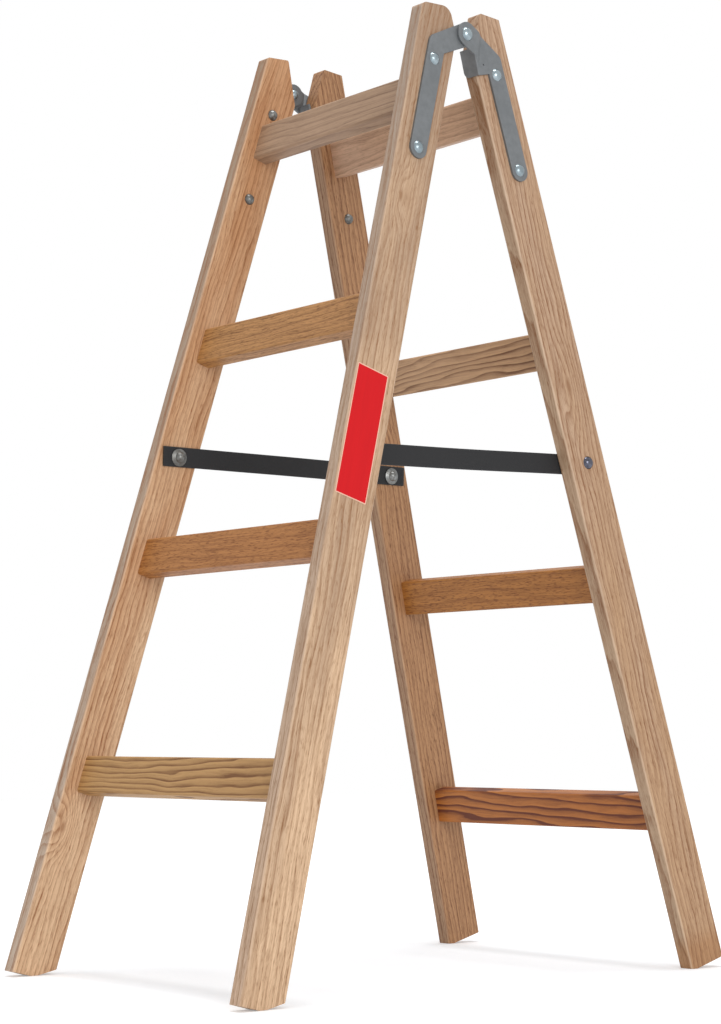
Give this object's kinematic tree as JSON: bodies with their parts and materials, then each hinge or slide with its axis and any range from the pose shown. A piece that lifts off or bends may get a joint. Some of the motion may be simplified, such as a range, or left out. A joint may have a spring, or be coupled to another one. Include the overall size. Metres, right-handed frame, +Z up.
{
  "type": "trestle ladder",
  "caption": "Folding wooden trestle ladder of two splayed sections with flat rungs, outer steel hinges at the top and two dark webbing spreader straps.",
  "frame": {"origin": "on the floor, in the middle of the ladder's outer box as it stands open", "axes": "+X from the front section to the rear section, +Y along the hinge axis away from the near side, +Z up"},
  "size_m": [0.7588, 0.4812, 1.1652],
  "materials": {
    "stile_wood": "planed softwood, straight grain, thin clear finish",
    "rung_wood": "planed hardwood, darker than the stiles, satin",
    "hinge_steel": "zinc plated sheet steel, satin grey",
    "bright_steel": "bright zinc plated fasteners",
    "webbing": "woven charcoal webbing, matt"
  },
  "bodies": {
    "front_section": {"front_near_stile": "stile_wood", "front_far_stile": "stile_wood", "front_rung_1": "rung_wood", "front_rung_2": "rung_wood", "front_rung_3": "rung_wood", "front_rung_4": "rung_wood", "front_near_leaf": "hinge_steel", "front_far_leaf": "hinge_steel", "near_pivot_rivet": "bright_steel", "far_pivot_rivet": "bright_steel", "near_pivot_washer": "hinge_steel", "far_pivot_washer": "hinge_steel", "front_near_hinge_bolts": "bright_steel", "front_far_hinge_bolts": "bright_steel", "front_near_hinge_nuts": "bright_steel", "front_far_hinge_nuts": "bright_steel", "near_strap": "webbing", "far_strap": "webbing", "front_near_strap_bolt": "bright_steel", "front_far_strap_bolt": "bright_steel", "front_near_cup_washer": "bright_steel", "front_far_cup_washer": "bright_steel", "front_near_strap_nut": "bright_steel", "front_far_strap_nut": "bright_steel"},
    "rear_section": {"rear_near_stile": "stile_wood", "rear_far_stile": "stile_wood", "rear_rung_1": "rung_wood", "rear_rung_2": "rung_wood", "rear_rung_3": "rung_wood", "rear_rung_4": "rung_wood", "rear_near_leaf": "hinge_steel", "rear_far_leaf": "hinge_steel", "rear_near_hinge_bolts": "bright_steel", "rear_far_hinge_bolts": "bright_steel", "rear_near_hinge_nuts": "bright_steel", "rear_far_hinge_nuts": "bright_steel", "rear_near_strap_bolt": "bright_steel", "rear_far_strap_bolt": "bright_steel", "rear_near_cup_washer": "bright_steel", "rear_far_cup_washer": "bright_steel", "rear_near_strap_nut": "bright_steel", "rear_far_strap_nut": "bright_steel"}
  },
  "joints": [
    {"name": "fold", "type": "hinge", "parent": "front_section", "child": "rear_section", "pos_m": [0.00088, 0, 1.1314], "axis": [0, 1, 0], "range_deg": [0, 30.8], "deforming": ["near_strap", "far_strap"]}
  ]
}
